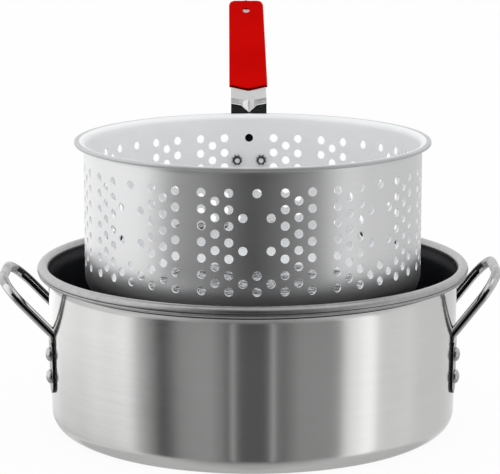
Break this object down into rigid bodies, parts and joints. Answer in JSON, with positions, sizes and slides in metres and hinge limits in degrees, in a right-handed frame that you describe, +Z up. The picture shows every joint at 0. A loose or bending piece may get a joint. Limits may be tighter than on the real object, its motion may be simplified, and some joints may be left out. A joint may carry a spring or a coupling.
{
  "type": "turkey fryer kit",
  "caption": "Wide shallow frying pot with rolled rim and riveted side handles, and a perforated lift-out basket with a red-gripped long handle.",
  "frame": {"origin": "middle of the pot's flat underside, on the pot's axis", "axes": "+Z up along the pot's axis, +X towards the right-hand pot handle, -Y the front; the basket's long handle points back, towards +Y"},
  "size_m": [0.4107, 0.4463, 0.3257],
  "materials": {
    "pot_aluminium": "satin",
    "basket_aluminium": "satin",
    "chrome": "polished",
    "rivet_aluminium": "matt",
    "red_vinyl": "satin",
    "plated_steel": "zinc plated"
  },
  "bodies": {
    "pot": {"pot": "pot_aluminium", "pot_handle_left": "chrome", "pot_handle_right": "chrome", "rivet_left_front_upper": "rivet_aluminium", "rivet_left_front_lower": "rivet_aluminium", "rivet_left_back_upper": "rivet_aluminium", "rivet_left_back_lower": "rivet_aluminium", "rivet_right_front_upper": "rivet_aluminium", "rivet_right_front_lower": "rivet_aluminium", "rivet_right_back_upper": "rivet_aluminium", "rivet_right_back_lower": "rivet_aluminium"},
    "basket": {"basket": "basket_aluminium", "basket_handle": "chrome", "grip": "red_vinyl", "screw_left": "plated_steel", "screw_right": "plated_steel", "lock_washer_left": "plated_steel", "lock_washer_right": "plated_steel", "nut_left": "plated_steel", "nut_right": "plated_steel"}
  },
  "joints": [
    {"name": "basket_lift", "type": "slide", "parent": "pot", "child": "basket", "axis": [0, 0, 1], "range_m": [-0.1067, 0.09]}
  ]
}
